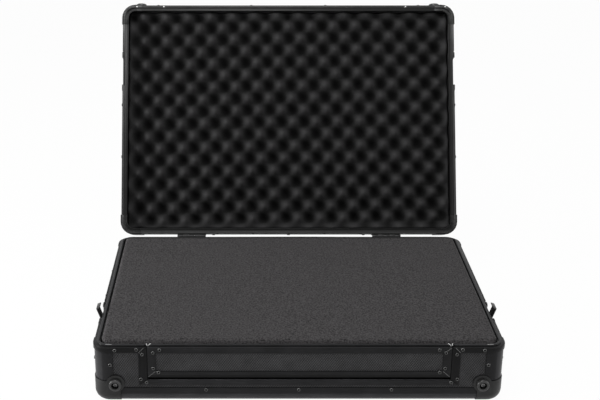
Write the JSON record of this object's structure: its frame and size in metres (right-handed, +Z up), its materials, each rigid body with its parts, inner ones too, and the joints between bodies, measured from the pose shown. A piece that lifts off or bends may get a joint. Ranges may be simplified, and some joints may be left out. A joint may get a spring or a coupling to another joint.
{
  "type": "flight case",
  "caption": "Shallow black flight case with a hinged lid, butterfly latches on both sides, a lift-out front panel and foam lining.",
  "frame": {"origin": "on the underside of the bottom board, under the middle of the base", "axes": "+Z up, -Y towards the front panel, +Y towards the hinges, +X to the right seen from the front"},
  "size_m": [0.7166, 0.7531, 0.551],
  "materials": {
    "black_laminate": "fine matte texture on birch ply",
    "black_anodised_aluminium": "satin anodised",
    "black_plated_steel": "satin black",
    "black_rubber": "matte",
    "grey_foam": "open-cell foam"
  },
  "bodies": {
    "base": {"bottom_board": "black_laminate", "base_front_board": "black_laminate", "base_back_board": "black_laminate", "base_left_board": "black_laminate", "base_right_board": "black_laminate", "base_rim": "black_anodised_aluminium", "left_jamb": "black_anodised_aluminium", "right_jamb": "black_anodised_aluminium", "sill": "black_anodised_aluminium", "bottom_edge_profile": "black_anodised_aluminium", "base_cap_front_left": "black_plated_steel", "base_cap_front_right": "black_plated_steel", "base_cap_back_right": "black_plated_steel", "base_cap_back_left": "black_plated_steel", "base_foot_front_left": "black_rubber", "base_foot_front_right": "black_rubber", "foam_block": "grey_foam", "base_hinge_leaf_left": "black_plated_steel", "base_hinge_leaf_right": "black_plated_steel", "left_latch_dish": "black_plated_steel", "right_latch_dish": "black_plated_steel", "handle_plate": "black_plated_steel"},
    "lid": {"lid_top_board": "black_laminate", "lid_front_board": "black_laminate", "lid_back_board": "black_laminate", "lid_left_board": "black_laminate", "lid_right_board": "black_laminate", "lid_rim_front": "black_anodised_aluminium", "lid_rim_back": "black_anodised_aluminium", "lid_rim_left": "black_anodised_aluminium", "lid_rim_right": "black_anodised_aluminium", "lid_edge_profile": "black_anodised_aluminium", "lid_corner_front_left": "black_anodised_aluminium", "lid_corner_front_right": "black_anodised_aluminium", "lid_corner_back_right": "black_anodised_aluminium", "lid_corner_back_left": "black_anodised_aluminium", "lid_cap_front_left": "black_plated_steel", "lid_cap_front_right": "black_plated_steel", "lid_cap_back_right": "black_plated_steel", "lid_cap_back_left": "black_plated_steel", "lid_foot_front_left": "black_rubber", "lid_foot_front_right": "black_rubber", "egg_crate_foam": "grey_foam", "lid_hinge_leaf_left": "black_plated_steel", "lid_hinge_leaf_right": "black_plated_steel", "left_keeper_dish": "black_plated_steel", "right_keeper_dish": "black_plated_steel"},
    "front_panel": {"panel_board": "black_laminate", "panel_frame": "black_anodised_aluminium"},
    "handle": {"handle_bail": "black_plated_steel", "handle_grip": "black_rubber"},
    "left_latch_hub_body": {"left_latch_hub": "black_plated_steel"},
    "left_latch_wing_body": {"left_latch_wing": "black_plated_steel"},
    "left_latch_link_body": {"left_latch_link": "black_plated_steel"},
    "left_latch_hook_body": {"left_latch_hook": "black_plated_steel"},
    "right_latch_hub_body": {"right_latch_hub": "black_plated_steel"},
    "right_latch_wing_body": {"right_latch_wing": "black_plated_steel"},
    "right_latch_link_body": {"right_latch_link": "black_plated_steel"},
    "right_latch_hook_body": {"right_latch_hook": "black_plated_steel"}
  },
  "joints": [
    {"name": "lid_hinge", "type": "hinge", "parent": "base", "child": "lid", "pos_m": [0, 0.24715, 0.1043], "axis": [-1, 0, 0], "range_deg": [-115.2, 0]},
    {"name": "front_panel_slide", "type": "slide", "parent": "base", "child": "front_panel", "axis": [0, 0, 1], "range_m": [0, 0.07]},
    {"name": "left_latch_turn", "type": "hinge", "parent": "base", "child": "left_latch_hub_body", "pos_m": [-0.3485, -0.10165, 0.0708], "axis": [1, 0, 0], "range_deg": [0, 180]},
    {"name": "left_latch_wing_fold", "type": "hinge", "parent": "left_latch_hub_body", "child": "left_latch_wing_body", "pos_m": [-0.34665, -0.10165, 0.0708], "axis": [0, 0, -1], "range_deg": [0, 90]},
    {"name": "left_latch_link_slide", "type": "slide", "parent": "base", "child": "left_latch_link_body", "axis": [0, 0, 1], "range_m": [-0.004, 0]},
    {"name": "left_latch_hook_fold", "type": "hinge", "parent": "left_latch_link_body", "child": "left_latch_hook_body", "pos_m": [-0.3442, -0.10165, 0.0873], "axis": [0, 1, 0], "range_deg": [0, 19]},
    {"name": "right_latch_turn", "type": "hinge", "parent": "base", "child": "right_latch_hub_body", "pos_m": [0.3485, -0.10165, 0.0708], "axis": [-1, 0, 0], "range_deg": [0, 180]},
    {"name": "right_latch_wing_fold", "type": "hinge", "parent": "right_latch_hub_body", "child": "right_latch_wing_body", "pos_m": [0.34665, -0.10165, 0.0708], "axis": [0, 0, -1], "range_deg": [0, 90]},
    {"name": "right_latch_link_slide", "type": "slide", "parent": "base", "child": "right_latch_link_body", "axis": [0, 0, 1], "range_m": [-0.004, 0]},
    {"name": "right_latch_hook_fold", "type": "hinge", "parent": "right_latch_link_body", "child": "right_latch_hook_body", "pos_m": [0.3442, -0.10165, 0.0873], "axis": [0, -1, 0], "range_deg": [0, 19]},
    {"name": "handle_fold", "type": "hinge", "parent": "base", "child": "handle", "pos_m": [0, 0.25165, 0.061], "axis": [1, 0, 0], "range_deg": [0, 90], "stiffness_Nm_per_rad": 0.3}
  ],
  "couplings": [
    {"joint": "left_latch_turn", "follows": "left_latch_link_slide", "rad_per_m": -785.4},
    {"joint": "right_latch_turn", "follows": "right_latch_link_slide", "rad_per_m": -785.4}
  ]
}
